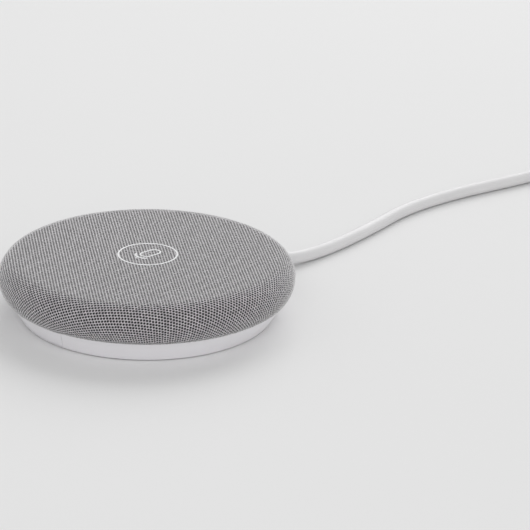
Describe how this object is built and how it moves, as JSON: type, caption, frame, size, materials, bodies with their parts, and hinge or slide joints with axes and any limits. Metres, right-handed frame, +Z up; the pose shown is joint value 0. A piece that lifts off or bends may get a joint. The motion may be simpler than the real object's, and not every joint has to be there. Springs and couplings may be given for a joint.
{
  "type": "table microphone pod",
  "caption": "Low round table microphone pod: knit mesh over a perforated dome on a tapered base, with a touch mark on top, a covered chain port and a captive lead.",
  "frame": {"origin": "middle of the rest face, on the table", "axes": "+Z up, +Y the way the lead leaves, -Y the chain port"},
  "size_m": [0.132, 0.3699, 0.0236],
  "materials": {
    "knit_mesh": "open knit mesh, mid grey",
    "dark_plastic": "black moulded dome",
    "pale_plastic": "fine matt, nearly white",
    "foot_rubber": "soft dark rubber",
    "steel": "zinc plated plate",
    "board": "green circuit board",
    "can_metal": "tinned screening can",
    "chip_plastic": "black moulding",
    "connector_metal": "nickel plated shell",
    "connector_plastic": "black moulding",
    "lead_rubber": "pale moulding",
    "lead_jacket": "pale smooth jacket",
    "lamp_plastic": "lamp lens",
    "guide_plastic": "smoked light guide",
    "screw_steel": "blackened steel",
    "mic_metal": "capsule case",
    "boot_rubber": "soft black rubber",
    "strap": "hook-and-loop strap",
    "plug_plastic": "pale moulding"
  },
  "bodies": {
    "pod": {"ballast_plate": "steel", "base_shell": "pale_plastic", "board_chips": "chip_plastic", "board_link": "connector_plastic", "board_screws": "screw_steel", "case_screws": "screw_steel", "cord_coil": "lead_jacket", "cord_gland": "lead_rubber", "cord_lead": "lead_jacket", "cord_tail": "lead_jacket", "cord_tie": "strap", "fabric_cover": "knit_mesh", "foot_ring": "foot_rubber", "grille_dome": "dark_plastic", "inner_lead": "lead_jacket", "lead_header": "connector_plastic", "light_guide": "guide_plastic", "main_board": "board", "mic_boot_front": "boot_rubber", "mic_boot_left": "boot_rubber", "mic_boot_rear": "boot_rubber", "mic_boot_right": "boot_rubber", "mic_capsule_front": "mic_metal", "mic_capsule_left": "mic_metal", "mic_capsule_rear": "mic_metal", "mic_capsule_right": "mic_metal", "plug_body": "plug_plastic", "plug_boot": "lead_rubber", "plug_insert": "connector_plastic", "plug_shell": "connector_metal", "port_socket": "connector_metal", "shield_can": "can_metal", "socket_tongue": "connector_plastic", "status_leds": "lamp_plastic", "touch_board": "board", "touch_screws": "screw_steel"},
    "cover": {"port_cover": "pale_plastic"}
  },
  "joints": [
    {"name": "cover_pull", "type": "slide", "parent": "pod", "child": "cover", "axis": [0, -1, 0], "range_m": [0, 0.02]}
  ]
}
